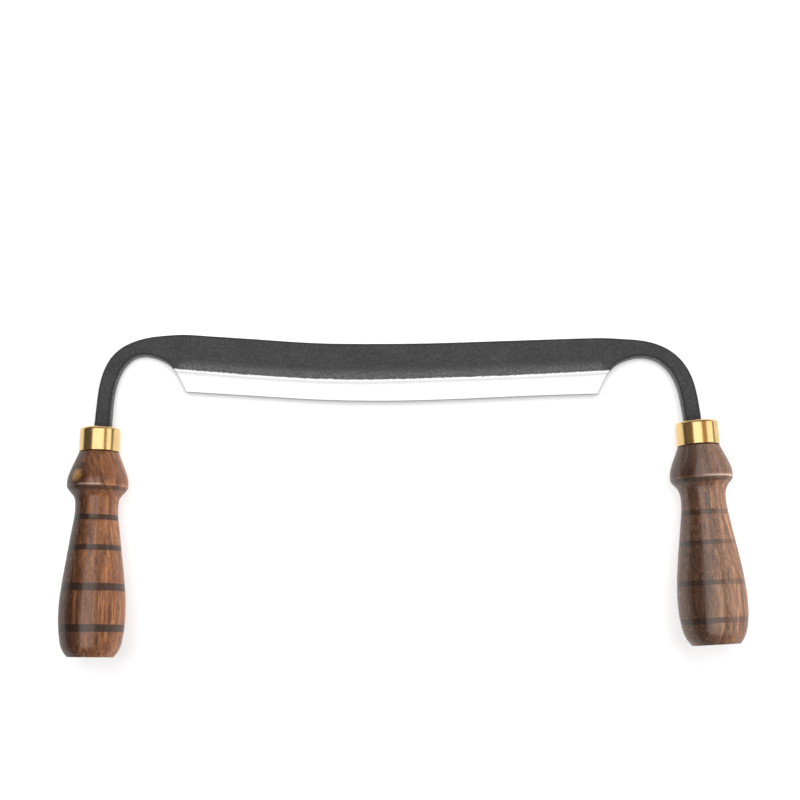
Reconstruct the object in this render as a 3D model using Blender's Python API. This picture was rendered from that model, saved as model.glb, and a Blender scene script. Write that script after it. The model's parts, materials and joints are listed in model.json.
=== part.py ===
"""A drawknife: one forged blade with a bent shank and a tang at each end, and on each tang a brass
ferrule, a turned wooden handle and a washer under the riveted end of the tang.

The blade, both shanks and both handle axes lie in one plane, the knife plane. Its coordinates are u along
the blade, v from the handles towards the spine and w out of the ground side, all in millimetres. The whole
knife is then settled as it lies on a table, on both handle collars and on the back of the blade.
"""

import math

import bmesh
import bpy
import numpy as np
from mathutils import Matrix, Vector

MM = 0.001
GAP = 0.3

# Blade and shanks
STOCK = 5.4
EDGE_LAND = 0.25
SPINE_CHAMFER = 0.8
SHANK_CHAMFER = 0.9
SHANK_WIDTH = 10.8
# Pairs of points across the forging, (outer u, outer v, inner u, inner v), from the left ferrule to the
# right one. The outer points follow the spine, the inner ones the hooks and the cutting edge.
LEFT_BEND = (
    (-190.2, 56.0, -179.9, 56.4),
    (-187.6, 71.4, -177.1, 69.0),
    (-178.2, 86.9, -170.0, 80.1),
    (-163.1, 94.3, -160.2, 83.1),
    (-150.0, 96.4, -150.4, 80.4),
    (-139.5, 97.1, -143.6, 75.7),
)
CUTTING_PART = (
    (-128.0, 96.7, -135.1, 60.6),
    (-90.0, 94.1, -90.0, 57.8),
    (-55.0, 91.8, -55.0, 55.7),
    (-20.0, 91.2, -20.0, 54.8),
    (15.0, 91.5, 15.0, 55.2),
    (55.0, 92.7, 55.0, 56.8),
    (90.0, 93.9, 90.0, 58.3),
    (118.0, 94.8, 125.1, 59.4),
)
RIGHT_BEND = (
    (131.0, 94.9, 133.4, 74.6),
    (142.0, 94.3, 142.4, 80.3),
    (154.5, 93.1, 152.0, 82.3),
    (171.7, 86.3, 164.4, 78.6),
    (183.2, 71.8, 172.7, 68.2),
    (187.2, 56.4, 176.1, 56.6),
)
# Where the ground bevel meets the forged flat, (u, v)
BEVEL_LINE = (
    (-143.6, 75.7),
    (-100.0, 72.0),
    (-60.0, 69.4),
    (-25.0, 68.5),
    (20.0, 69.5),
    (75.0, 71.5),
    (133.4, 74.6),
)

# Handles: the mouth of the ferrule in the knife plane, the lean away from square in degrees, and stations
# and radii along the axis from the mouth. shank_shift is how far the shank stands inboard of the axis.
HANDLES = {
    "left": {
        "side": -1,
        "mouth": (-188.0, 37.2),
        "lean": 0.4,
        "shank_shift": 1.8,
        "length": 141.3,
        "ferrule": 12.7,
        "seat": 12.3,
        "ridge_at": 37.2,
        "ridge": 18.85,
        "neck_at": 51.0,
        "neck": 13.2,
        "belly_at": 114.0,
        "belly": 20.35,
        "butt": 13.8,
    },
    "right": {
        "side": 1,
        "mouth": (186.1, 41.3),
        "lean": 3.1,
        "shank_shift": 2.4,
        "length": 137.9,
        "ferrule": 13.4,
        "seat": 13.0,
        "ridge_at": 36.0,
        "ridge": 19.3,
        "neck_at": 50.0,
        "neck": 13.85,
        "belly_at": 111.0,
        "belly": 21.2,
        "butt": 14.3,
    },
}

FERRULE_WALL = 1.3
FERRULE_LENGTH = 15.0
FERRULE_SHOULDER = 1.8
FERRULE_HOLE = 9.4

COUNTERBORE_RADIUS = 8.3
COUNTERBORE_DEPTH = 4.5
WASHER_RADIUS = 7.6
WASHER_THICKNESS = 1.4
RIVET_RADIUS = 3.1
RIVET_HEAD_RADIUS = 5.4

TANG_CENTRED_AT = 42.0
TANG_END_WIDTH = 7.0
TANG_END_THICKNESS = 5.0
TANG_ROUND_FROM = 22.0
TANG_ROUND_TO = 14.0

HANDLE_SEGMENTS = 44
METAL_SEGMENTS = 48
WASHER_SEGMENTS = 24
SHARP_ANGLE = math.radians(32)


def clear_scene():
    for obj in list(bpy.data.objects):
        bpy.data.objects.remove(obj, do_unlink=True)


def material(name, colour, roughness, metallic):
    made = bpy.data.materials.new(name)
    made.use_nodes = True
    shader = made.node_tree.nodes["Principled BSDF"]
    shader.inputs["Base Color"].default_value = (*colour, 1)
    shader.inputs["Roughness"].default_value = roughness
    shader.inputs["Metallic"].default_value = metallic
    return made


def smoothstep(x):
    x = min(max(x, 0.0), 1.0)
    return x * x * (3 - 2 * x)


def mix(a, b, x):
    return a + (b - a) * x


def fair_curve(params, points):
    """A natural cubic spline through points at params, as a function of the parameter."""
    params = np.asarray(params, float)
    points = np.asarray(points, float)
    gaps = np.diff(params)
    last = len(params) - 1
    matrix = np.eye(last + 1)
    right = np.zeros_like(points)
    for i in range(1, last):
        matrix[i, i - 1 : i + 2] = gaps[i - 1], 2 * (gaps[i - 1] + gaps[i]), gaps[i]
        slopes = (points[i + 1] - points[i]) / gaps[i] - (points[i] - points[i - 1]) / gaps[i - 1]
        right[i] = 6 * slopes
    bends = np.linalg.solve(matrix, right)

    def at(t):
        i = int(np.clip(np.searchsorted(params, t) - 1, 0, last - 1))
        left, after = (params[i + 1] - t) / gaps[i], (t - params[i]) / gaps[i]
        curve = (left**3 - left) * bends[i] + (after**3 - after) * bends[i + 1]
        return left * points[i] + after * points[i + 1] + curve * gaps[i] ** 2 / 6

    return at


def hermite(knots, steps):
    """Points (station, radius) along a curve through knots (station, radius, slope)."""
    points = []
    for (s0, r0, m0), (s1, r1, m1) in zip(knots, knots[1:]):
        span = s1 - s0
        for k in range(steps):
            x = k / steps
            value = r0 * (1 + 2 * x) * (1 - x) ** 2 + r1 * x * x * (3 - 2 * x)
            value += span * x * (1 - x) * (m0 * (1 - x) - m1 * x)
            points.append((s0 + span * x, value))
    points.append(knots[-1][:2])
    return points


def arc(centre_s, centre_r, radius, start, end, steps):
    """Points (station, radius) on an arc; angles in degrees from +radius towards +station."""
    angles = [math.radians(mix(start, end, k / steps)) for k in range(steps + 1)]
    return [(centre_s + radius * math.sin(a), centre_r + radius * math.cos(a)) for a in angles]


# ---------------------------------------------------------------- meshes


def finish_object(name, bm, look, parent):
    """Cleans the mesh, makes the object and shades it smooth up to its real arrises."""
    bmesh.ops.remove_doubles(bm, verts=bm.verts, dist=2e-6)
    bmesh.ops.dissolve_degenerate(bm, edges=bm.edges, dist=2e-6)
    bmesh.ops.recalc_face_normals(bm, faces=bm.faces)
    mesh = bpy.data.meshes.new(name)
    bm.to_mesh(mesh)
    bm.free()
    mesh.shade_smooth()
    mesh.set_sharp_from_angle(angle=SHARP_ANGLE)
    obj = bpy.data.objects.new(name, mesh)
    bpy.context.scene.collection.objects.link(obj)
    obj.parent = parent
    for each in look:
        mesh.materials.append(each)
    return obj


def bridge(bm, rings, closed_ends):
    """Skins a list of rings, each a list of mesh points. The ends are capped unless the rings close up."""
    count = len(rings[0])
    pairs = list(zip(rings, rings[1:]))
    if not closed_ends:
        pairs.append((rings[-1], rings[0]))
    for ring, after in pairs:
        for i in range(count):
            j = (i + 1) % count
            bm.faces.new((ring[i], ring[j], after[j], after[i]))
    if closed_ends:
        bm.faces.new(rings[0])
        bm.faces.new(rings[-1])


def turned(profile, segments, hollow):
    """A turned body about local Z from (station, radius) points. A hollow profile is a closed loop."""
    bm = bmesh.new()
    rings = []
    for station, radius in profile:
        ring = []
        for k in range(segments):
            angle = 2 * math.pi * k / segments
            point = Vector((radius * math.cos(angle), radius * math.sin(angle), station))
            ring.append(bm.verts.new(point * MM))
        rings.append(ring)
    bridge(bm, rings, closed_ends=not hollow)
    return bm


# ---------------------------------------------------------------- handle axes


def axis_directions(handle):
    """Unit vectors in the knife plane: along the handle to its butt, and square to it, inboard."""
    lean = math.radians(handle["lean"])
    along = np.array([handle["side"] * math.sin(lean), -math.cos(lean)])
    inboard = np.array([-handle["side"] * math.cos(lean), -math.sin(lean)])
    return along, inboard


def on_axis(handle, station, inboard_shift=0.0):
    along, inboard = axis_directions(handle)
    return np.array(handle["mouth"]) + along * station + inboard * inboard_shift


def rivet_seat(handle):
    """Station of the washer's outer face, which the rivet head bears on."""
    return handle["length"] - COUNTERBORE_DEPTH + GAP + WASHER_THICKNESS


# ---------------------------------------------------------------- blade


def cross_section(station):
    """Twelve points (outer-to-inner distance, height) round one section of the forging."""
    width, half = station["width"], station["half"]
    outer, inner = station["outer_chamfer"], station["inner_chamfer"]
    top, mid = station["inner_top"], station["inner_mid"]
    flat = [
        (outer, half),
        (station["bevel_from"], half),
        (width - inner, top),
        (width, top - inner),
        (width, mid),
        (width, inner - half),
        (width - inner, -half),
        (width / 2, -half),
        (outer, -half),
        (0, outer - half),
        (0, 0),
        (0, half - outer),
    ]
    turn = [math.radians(120 - 30 * k) for k in range(len(flat))]
    radius = station["round_radius"]
    circle = [(width / 2 + radius * math.cos(a), radius * math.sin(a)) for a in turn]
    x = station["roundness"]
    return [(mix(a, c, x), mix(b, d, x)) for (a, b), (c, d) in zip(flat, circle)]


def plain_station(outer, inner, half, chamfer):
    width = float(np.linalg.norm(inner - outer))
    return {
        "outer": outer,
        "inner": inner,
        "width": width,
        "half": half,
        "outer_chamfer": chamfer,
        "inner_chamfer": chamfer,
        "bevel_from": width / 2,
        "inner_top": half,
        "inner_mid": 0.0,
        "roundness": 0.0,
        "round_radius": 0.0,
    }


def tang_station(handle, s, grow, radius=None):
    """A section of the tang s along the handle. With a radius it is a round one of that size."""
    in_wood = smoothstep(s / TANG_CENTRED_AT)
    shift = handle["shank_shift"] * (1 - in_wood)
    taper = min(max(s / (handle["length"] - TANG_ROUND_FROM), 0), 1)
    half_width = mix(SHANK_WIDTH, TANG_END_WIDTH, taper) / 2 + grow
    half = mix(STOCK, TANG_END_THICKNESS, taper) / 2 + grow
    from_end = handle["length"] - s
    roundness = smoothstep((TANG_ROUND_FROM - from_end) / (TANG_ROUND_FROM - TANG_ROUND_TO))
    if radius is not None:
        roundness, half_width = 1.0, radius
    outer = on_axis(handle, s, shift - half_width)
    inner = on_axis(handle, s, shift + half_width)
    made = plain_station(outer, inner, half, SHANK_CHAMFER)
    made["roundness"] = roundness
    made["round_radius"] = RIVET_RADIUS + grow if radius is None else radius
    return made


def tang(handle):
    """Stations from the ferrule's mouth to the domed rivet head."""
    seat = rivet_seat(handle) + GAP
    length = handle["length"]
    plain = [0, 10, 20, 30, TANG_CENTRED_AT, 75, length - TANG_ROUND_FROM, length - 18, length - TANG_ROUND_TO]
    stations = [tang_station(handle, s, 0.0) for s in plain]
    stations.append(tang_station(handle, seat, 0.0, RIVET_RADIUS))
    head = ((0.0, 1.0), (0.5, 1.0), (1.1, 0.84), (1.6, 0.5))
    stations += [tang_station(handle, seat + rise, 0.0, RIVET_HEAD_RADIUS * part) for rise, part in head]
    return stations


def shank_end(handle):
    half = SHANK_WIDTH / 2
    shift = handle["shank_shift"]
    return (*on_axis(handle, 0, shift - half), *on_axis(handle, 0, shift + half))


def bevel_reach(outer, inner, bevel_v):
    """Distance from outer, along the line to inner, at which that line crosses the bevel line."""
    low, high = 0.0, 1.0
    for _ in range(40):
        x = (low + high) / 2
        u, v = mix(outer, inner, x)
        if v > bevel_v(u):
            low = x
        else:
            high = x
    return low * float(np.linalg.norm(inner - outer))


def forging_stations():
    """Stations from the left mouth to the right mouth."""
    ribs = [shank_end(HANDLES["left"]), *LEFT_BEND, *CUTTING_PART, *RIGHT_BEND, shank_end(HANDLES["right"])]
    ribs = np.array(ribs)
    outer_points, inner_points = ribs[:, :2], ribs[:, 2:]
    middle = (outer_points + inner_points) / 2
    params = np.concatenate([[0], np.cumsum(np.linalg.norm(np.diff(middle, axis=0), axis=1))])
    first, last = 1 + len(LEFT_BEND), len(LEFT_BEND) + len(CUTTING_PART)
    outer = fair_curve(params, outer_points)
    inner_pieces = (
        fair_curve(params[: first + 1], inner_points[: first + 1]),
        fair_curve(params[first : last + 1], inner_points[first : last + 1]),
        fair_curve(params[last:], inner_points[last:]),
    )
    bevel = fair_curve([p[0] for p in BEVEL_LINE], [p[1] for p in BEVEL_LINE])
    bevel_first, bevel_last = first - 1, last + 1

    stations = []
    for i in range(len(ribs) - 1):
        piece = inner_pieces[(i >= first) + (i >= last)]
        length = params[i + 1] - params[i]
        steps = max(3, round(length / (6.0 if first <= i < last else 3.0)))
        for k in range(steps + (i == len(ribs) - 2)):
            t = params[i] + length * k / steps
            a, b = outer(t), piece(t)
            made = plain_station(a, b, STOCK / 2, SHANK_CHAMFER)
            rib = i + k / steps
            towards = max(bevel_first - rib, rib - bevel_last)
            plain = smoothstep(towards / 2)
            made["outer_chamfer"] = SPINE_CHAMFER
            made["inner_chamfer"] = SHANK_CHAMFER * plain
            if towards < 1:
                made["bevel_from"] = mix(made["width"], made["width"] / 2, max(towards, 0))
            if towards <= 0:
                edge = min(rib - bevel_first, bevel_last - rib, 1.0)
                made["bevel_from"] = bevel_reach(a, b, bevel) if edge > 0 else made["width"]
                made["inner_top"] = mix(STOCK / 2, EDGE_LAND - STOCK / 2, edge)
                made["inner_mid"] = -STOCK / 2
            stations.append(made)
    return stations


def build_blade(parent, looks):
    """One loft: left rivet head, tang, shank and bend, cutting part, and the same again on the right."""
    left, right = tang(HANDLES["left"]), tang(HANDLES["right"])
    stations = left[:0:-1] + forging_stations() + right[1:]
    bm = bmesh.new()
    rings = []
    for station in stations:
        along = (station["inner"] - station["outer"]) / station["width"]
        ring = []
        for distance, height in cross_section(station):
            u, v = station["outer"] + along * distance
            ring.append(bm.verts.new(Vector((u, v, height)) * MM))
        rings.append(ring)
    bridge(bm, rings, closed_ends=True)
    obj = finish_object("blade", bm, looks, parent)
    # The ground bevel is the one part of the blade that slopes between the flats and the chamfers.
    chamfer_rise, flat_rise = math.cos(math.radians(35)), math.cos(math.radians(8))
    half_length = abs(LEFT_BEND[-1][2]) * MM
    for face in obj.data.polygons:
        sloping = chamfer_rise < face.normal.z < flat_rise
        face.material_index = int(sloping and abs(face.center.x) < half_length)
    return obj


# ---------------------------------------------------------------- ferrule, handle, washer


def build_ferrule(name, handle, parent, look):
    """A drawn cap: a tube with a rounded shoulder whose front closes in round the shank."""
    radius = handle["ferrule"]
    bore = radius - FERRULE_WALL
    lip_corner = 0.4
    profile = arc(FERRULE_SHOULDER, radius - FERRULE_SHOULDER, FERRULE_SHOULDER, -90, 0, 5)
    profile += arc(FERRULE_LENGTH - lip_corner, radius - lip_corner, lip_corner, 0, 90, 2)
    profile += [(FERRULE_LENGTH, bore), (FERRULE_WALL, bore), (FERRULE_WALL, FERRULE_HOLE)]
    profile += [(lip_corner, FERRULE_HOLE), (0, FERRULE_HOLE + lip_corner)]
    return finish_object(name, turned(profile, METAL_SEGMENTS, hollow=True), look, parent)


def handle_knots(handle):
    """Knots (station, radius, slope) of the collar, from the ferrule's end to its crisp ridge, and of the
    grip, from the ridge to the rim of the butt."""
    ridge_at, ridge = handle["ridge_at"], handle["ridge"]
    neck_at, neck = handle["neck_at"], handle["neck"]
    belly_at, belly = handle["belly_at"], handle["belly"]
    length = handle["length"]
    collar = (
        (FERRULE_LENGTH + GAP, handle["seat"], 0.39),
        (ridge_at - 8.0, ridge - 1.0, 0.34),
        (ridge_at - 3.6, ridge - 0.05, 0.07),
        (ridge_at, ridge, 0.0),
    )
    grip = (
        (ridge_at, ridge, -0.42),
        (ridge_at + 3.7, ridge - 2.6, -0.95),
        (neck_at - 6.5, neck + 0.65, -0.33),
        (neck_at, neck, 0.0),
        (neck_at + 9.0, neck + 0.9, 0.145),
        (belly_at - 21.0, belly - 1.7, 0.13),
        (belly_at, belly, 0.0),
        (length - 13.0, belly - 0.95, -0.18),
        (length - 4.6, handle["butt"] + 3.5, -0.52),
        (length - 0.8, handle["butt"] + 0.9, -0.95),
    )
    return collar, grip


def build_handle(name, handle, parent, look):
    """A turned handle: a peg inside the ferrule, a collar, a neck and a belly, bored for the tang."""
    peg = handle["ferrule"] - FERRULE_WALL - GAP
    peg_chamfer = 0.6
    front = FERRULE_WALL + GAP
    profile = [(front, peg - peg_chamfer), (front + peg_chamfer, peg), (FERRULE_LENGTH + GAP, peg)]
    collar, grip = handle_knots(handle)
    profile += hermite(collar, 4)[:-1] + hermite(grip, 4)
    profile.append((handle["length"], handle["butt"]))
    body = finish_object(name, turned(profile, HANDLE_SEGMENTS, hollow=False), look, parent)
    cut = body.modifiers.new("tang_bore", "BOOLEAN")
    cut.operation = "DIFFERENCE"
    cut.object = tang_cutter(name + "_tang_bore", handle, parent)
    return body


def tang_cutter(name, handle, parent):
    """The tang's own shape grown by the gap, run out past the front, with the washer's counterbore."""
    length = handle["length"]
    plain = [-2, 10, 20, 30, TANG_CENTRED_AT, 75, length - TANG_ROUND_FROM, length - 18, length - TANG_ROUND_TO]
    stations = [tang_station(handle, s, GAP) for s in plain]
    floor = length - COUNTERBORE_DEPTH
    ends = ((floor, RIVET_RADIUS + GAP), (floor, COUNTERBORE_RADIUS), (length + 2, COUNTERBORE_RADIUS))
    stations += [tang_station(handle, s, GAP, radius) for s, radius in ends]
    bm = bmesh.new()
    rings = []
    mouth = np.array(handle["mouth"])
    along, inboard = axis_directions(handle)
    for station in stations:
        across = (station["inner"] - station["outer"]) / station["width"]
        ring = []
        for distance, height in cross_section(station):
            point = station["outer"] + across * distance - mouth
            ring.append(bm.verts.new(Vector((point @ inboard, height * -handle["side"], point @ along)) * MM))
        rings.append(ring)
    bridge(bm, rings, closed_ends=True)
    cutter = finish_object(name, bm, (), parent)
    cutter.hide_render = True
    cutter.display_type = "WIRE"
    return cutter


def build_washer(name, handle, parent, look):
    edge = 0.3
    inner, outer = RIVET_RADIUS + GAP, WASHER_RADIUS
    near = handle["length"] - COUNTERBORE_DEPTH + GAP
    far = near + WASHER_THICKNESS
    profile = [(near, inner), (near, outer - edge), (near + edge, outer), (far - edge, outer)]
    profile += [(far, outer - edge), (far, inner)]
    return finish_object(name, turned(profile[::-1], WASHER_SEGMENTS, hollow=True), look, parent)


def handle_axis(name, handle, parent):
    """An empty at the ferrule's mouth: +Z along the handle, +X inboard, in the knife plane."""
    empty = bpy.data.objects.new(name, None)
    bpy.context.scene.collection.objects.link(empty)
    empty.parent = parent
    along, inboard = axis_directions(handle)
    z_axis = Vector((*along, 0))
    x_axis = Vector((*inboard, 0))
    columns = (x_axis, z_axis.cross(x_axis), z_axis)
    empty.rotation_euler = Matrix(columns).transposed().to_euler()
    empty.location = Vector((*handle["mouth"], 0)) * MM
    return empty


# ---------------------------------------------------------------- rest on the table


def world_points(objects):
    graph = bpy.context.evaluated_depsgraph_get()
    points = []
    for obj in objects:
        evaluated = obj.evaluated_get(graph)
        world = evaluated.matrix_world
        points += [world @ vertex.co for vertex in evaluated.data.vertices]
    return np.array(points)


def settle(knife_plane, blade, left_grip, right_grip):
    """Tilts the knife until the blade and both grips touch one level, then puts the origin under it."""
    arm, span = 0.095, 0.375
    for _ in range(12):
        bpy.context.view_layer.update()
        low_blade, low_left, low_right = (
            world_points(objects)[:, 2].min() for objects in ([blade], left_grip, right_grip)
        )
        knife_plane.rotation_euler.x -= (low_blade - (low_left + low_right) / 2) / arm
        knife_plane.rotation_euler.y += (low_right - low_left) / span
    bpy.context.view_layer.update()
    everything = world_points([blade, *left_grip, *right_grip])
    low, high = everything.min(axis=0), everything.max(axis=0)
    knife_plane.location = (-(low[0] + high[0]) / 2, -(low[1] + high[1]) / 2, -low[2])
    bpy.context.view_layer.update()


def main():
    clear_scene()
    scale = material("forge_scale_steel", (0.055, 0.056, 0.060), 0.5, 0.7)
    ground = material("ground_steel", (0.62, 0.62, 0.62), 0.22, 1.0)
    brass = material("brass", (0.80, 0.55, 0.22), 0.2, 1.0)
    walnut = material("walnut", (0.16, 0.07, 0.035), 0.4, 0.0)
    washer_steel = material("washer_steel", (0.45, 0.44, 0.42), 0.35, 1.0)

    knife_plane = bpy.data.objects.new("knife_plane", None)
    bpy.context.scene.collection.objects.link(knife_plane)
    blade = build_blade(knife_plane, (scale, ground))
    grips = []
    for side, handle in HANDLES.items():
        axis = handle_axis("handle_axis_" + side, handle, knife_plane)
        ferrule = build_ferrule("ferrule_" + side, handle, axis, (brass,))
        wood = build_handle("handle_" + side, handle, axis, (walnut,))
        build_washer("washer_" + side, handle, axis, (washer_steel,))
        grips.append([ferrule, wood])
    settle(knife_plane, blade, *grips)


main()
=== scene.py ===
"""The looks of the drawknife: every CAD solid is replaced by a fine mesh of the same piece, with
rounded arrises, the forge's slight unevenness and burnt rings cut into the grips, and every piece gets
a node material. Sizes are in millimetres: in the knife plane u runs along the blade, v from the handles
to the spine and w out of the ground side, and a station is a distance along a handle's axis. Lights
and the camera are placed in metres.
"""

import json
import math

import bpy
import numpy as np
from mathutils import Matrix, Vector, noise

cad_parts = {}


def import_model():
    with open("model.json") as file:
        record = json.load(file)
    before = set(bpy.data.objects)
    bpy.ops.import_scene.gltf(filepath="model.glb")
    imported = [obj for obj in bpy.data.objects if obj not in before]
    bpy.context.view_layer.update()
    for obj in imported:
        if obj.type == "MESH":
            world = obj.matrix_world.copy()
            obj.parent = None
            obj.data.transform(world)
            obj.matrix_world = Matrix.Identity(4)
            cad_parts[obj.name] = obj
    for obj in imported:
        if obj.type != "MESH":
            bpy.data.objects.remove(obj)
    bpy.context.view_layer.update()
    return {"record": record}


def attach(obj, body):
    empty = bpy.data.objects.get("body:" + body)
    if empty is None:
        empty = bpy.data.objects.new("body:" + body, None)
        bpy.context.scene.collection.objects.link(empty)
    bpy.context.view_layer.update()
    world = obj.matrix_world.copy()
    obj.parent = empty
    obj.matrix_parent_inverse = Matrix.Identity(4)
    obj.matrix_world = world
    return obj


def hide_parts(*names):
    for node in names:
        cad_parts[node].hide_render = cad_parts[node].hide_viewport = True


MM = 0.001
BODY = "root"

# ---------------- sizes, as in the CAD

GAP = 0.3
STOCK = 5.4
MOUNT_V = 78  # the mount is at u 0 and this v, on the back
EDGE_LAND = 0.25
SPINE_CHAMFER = 0.8
SHANK_CHAMFER = 0.9
SHANK_WIDTH = 10.8
# (outer u, outer v, inner u, inner v) across the forging, from the left ferrule to the right one
LEFT_BEND = (
    (-190.2, 56.0, -179.9, 56.4),
    (-187.6, 71.4, -177.1, 69.0),
    (-178.2, 86.9, -170.0, 80.1),
    (-163.1, 94.3, -160.2, 83.1),
    (-150.0, 96.4, -150.4, 80.4),
    (-139.5, 97.1, -143.6, 75.7),
)
CUTTING_PART = (
    (-128.0, 96.7, -135.1, 60.6),
    (-90.0, 94.1, -90.0, 57.8),
    (-55.0, 91.8, -55.0, 55.7),
    (-20.0, 91.2, -20.0, 54.8),
    (15.0, 91.5, 15.0, 55.2),
    (55.0, 92.7, 55.0, 56.8),
    (90.0, 93.9, 90.0, 58.3),
    (118.0, 94.8, 125.1, 59.4),
)
RIGHT_BEND = (
    (131.0, 94.9, 133.4, 74.6),
    (142.0, 94.3, 142.4, 80.3),
    (154.5, 93.1, 152.0, 82.3),
    (171.7, 86.3, 164.4, 78.6),
    (183.2, 71.8, 172.7, 68.2),
    (187.2, 56.4, 176.1, 56.6),
)
BEVEL_LINE = (
    (-143.6, 75.7),
    (-100.0, 72.0),
    (-60.0, 69.4),
    (-25.0, 68.5),
    (20.0, 69.5),
    (75.0, 71.5),
    (133.4, 74.6),
)
# The CAD's handles, with the burnt rings: (station, width) of each
HANDLES = {
    "left": {
        "side": -1,
        "mouth": (-188.0, 37.2),
        "lean": 0.4,
        "shank_shift": 1.8,
        "length": 141.3,
        "ferrule": 12.7,
        "seat": 12.3,
        "ridge_at": 37.2,
        "ridge": 18.85,
        "neck_at": 51.0,
        "neck": 13.2,
        "belly_at": 114.0,
        "belly": 20.35,
        "butt": 13.8,
        "rings": ((56.5, 3.4), (75.2, 3.5), (99.2, 4.6), (123.9, 4.7)),
    },
    "right": {
        "side": 1,
        "mouth": (186.1, 41.3),
        "lean": 3.1,
        "shank_shift": 2.4,
        "length": 137.9,
        "ferrule": 13.4,
        "seat": 13.0,
        "ridge_at": 36.0,
        "ridge": 19.3,
        "neck_at": 50.0,
        "neck": 13.85,
        "belly_at": 111.0,
        "belly": 21.2,
        "butt": 14.3,
        "rings": ((57.4, 3.2), (76.2, 2.9), (100.6, 3.1), (123.4, 3.4)),
    },
}
FERRULE_WALL = 1.3
FERRULE_LENGTH = 15.0
FERRULE_SHOULDER = 1.8
FERRULE_HOLE = 9.4
COUNTERBORE_RADIUS = 8.3
COUNTERBORE_DEPTH = 4.5
WASHER_RADIUS = 7.6
WASHER_THICKNESS = 1.4
RIVET_RADIUS = 3.1
RIVET_HEAD_RADIUS = 5.4
RIVET_HEAD = ((0.0, 0.97), (0.12, 1.0), (0.45, 1.0), (0.8, 0.93), (1.1, 0.84), (1.35, 0.7), (1.6, 0.45))
TANG_CENTRED_AT = 42.0
TANG_STATIONS = (0, 5, 10, 15, 20, 25, 30, 36, TANG_CENTRED_AT, 58, 75, 100)
TANG_END_WIDTH = 7.0
TANG_END_THICKNESS = 5.0
TANG_ROUND_FROM = 22.0
TANG_ROUND_TO = 14.0

# ---------------- what only the fine meshes have

HANDLE_SEGMENTS = 160
METAL_SEGMENTS = 192
FLOOR_SEGMENTS = 96
PROFILE_STEP = 0.5
BLADE_STEP = 1.6
FACET_ALLOWANCE = 0.06  # the CAD's turned pieces are facets inside these circles
RING_DEPTH = 0.07
RING_SHOULDER = 0.8
GAP_SHADE_WIDTH = 0.7  # painted shade: the dark line where a grip comes out of its ferrule
# How far the ridge's painted highlight reaches before the arris, and its painted shade past it
ARRIS_HIGHLIGHT_SPAN = 1.8
ARRIS_SHADE_SPAN = 2.6
HAMMER_DEPTH = 0.10
HAMMER_SCALE = 1 / 17.0
HAMMER_DETAIL = 2.7  # the smaller dents come this many times closer
FAR = 60.0  # stands for a distance that doesn't apply
BACK_LAPPED = 4.5
EDGE_SHADE_LINE = 0.65  # painted shade: the thin dark line along every ground edge
SCALE_RUBBED = 7.5  # the scale is rubbed grey this far from the bevel line
BEVEL_SHOWS_AT = 0.5  # bright steel starts this far past the bevel line
# How near still counts as on the back, at the height of the edge's land, and on the bevel line
ON_BACK, AT_LAND, ON_LINE = 1e-4, 0.02, 0.05


def mix(a, b, x):
    return a + (b - a) * x


def smoothstep(x):
    x = min(max(x, 0.0), 1.0)
    return x * x * (3 - 2 * x)


def fair_curve(params, points):
    """A natural cubic spline through points at params, as a function of the parameter."""
    params = np.asarray(params, float)
    points = np.asarray(points, float)
    gaps = np.diff(params)
    last = len(params) - 1
    matrix = np.eye(last + 1)
    right = np.zeros_like(points)
    for i in range(1, last):
        matrix[i, i - 1 : i + 2] = gaps[i - 1], 2 * (gaps[i - 1] + gaps[i]), gaps[i]
        slopes = (points[i + 1] - points[i]) / gaps[i] - (points[i] - points[i - 1]) / gaps[i - 1]
        right[i] = 6 * slopes
    bends = np.linalg.solve(matrix, right)

    def at(t):
        i = int(np.clip(np.searchsorted(params, t) - 1, 0, last - 1))
        left, after = (params[i + 1] - t) / gaps[i], (t - params[i]) / gaps[i]
        curve = (left**3 - left) * bends[i] + (after**3 - after) * bends[i + 1]
        return left * points[i] + after * points[i + 1] + curve * gaps[i] ** 2 / 6

    return at


def hermite(knots, spacing):
    """Points (station, radius), about spacing apart, through knots (station, radius, slope)."""
    points = []
    for (s0, r0, m0), (s1, r1, m1) in zip(knots, knots[1:]):
        span = s1 - s0
        steps = max(2, round(span / spacing))
        for k in range(steps):
            x = k / steps
            value = r0 * (1 + 2 * x) * (1 - x) ** 2 + r1 * x * x * (3 - 2 * x)
            value += span * x * (1 - x) * (m0 * (1 - x) - m1 * x)
            points.append((s0 + span * x, value))
    points.append(knots[-1][:2])
    return points


def arc(centre_s, centre_r, radius, start, end, steps):
    """Points (station, radius) on an arc; angles in degrees from +radius towards +station."""
    angles = [math.radians(mix(start, end, k / steps)) for k in range(steps + 1)]
    return [(centre_s + radius * math.sin(a), centre_r + radius * math.cos(a)) for a in angles]


# ---------------- where things are


def frame_at(origin, x_axis, y_axis, z_axis):
    matrix = Matrix((x_axis, y_axis, z_axis)).transposed().to_4x4()
    matrix.translation = origin
    return matrix


def knife_plane(record):
    """The knife plane's matrix, from the mount on the back of the blade."""
    mount = next(m for m in record["mounts"] if m["name"] == "blade_back")
    w = -Vector(mount["axis"]).normalized()
    u = Vector((0, 1, 0)).cross(w).normalized()
    v = w.cross(u)
    origin = Vector(mount["pos_m"]) - v * MOUNT_V * MM + w * STOCK / 2 * MM
    return frame_at(origin, u, v, w)


def axis_directions(handle):
    """Unit vectors in the knife plane: along the handle to its butt, and square to it, inboard."""
    lean = math.radians(handle["lean"])
    along = np.array([handle["side"] * math.sin(lean), -math.cos(lean)])
    inboard = np.array([-handle["side"] * math.cos(lean), -math.sin(lean)])
    return along, inboard


def on_axis(handle, station, inboard_shift=0.0):
    along, inboard = axis_directions(handle)
    return np.array(handle["mouth"]) + along * station + inboard * inboard_shift


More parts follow.
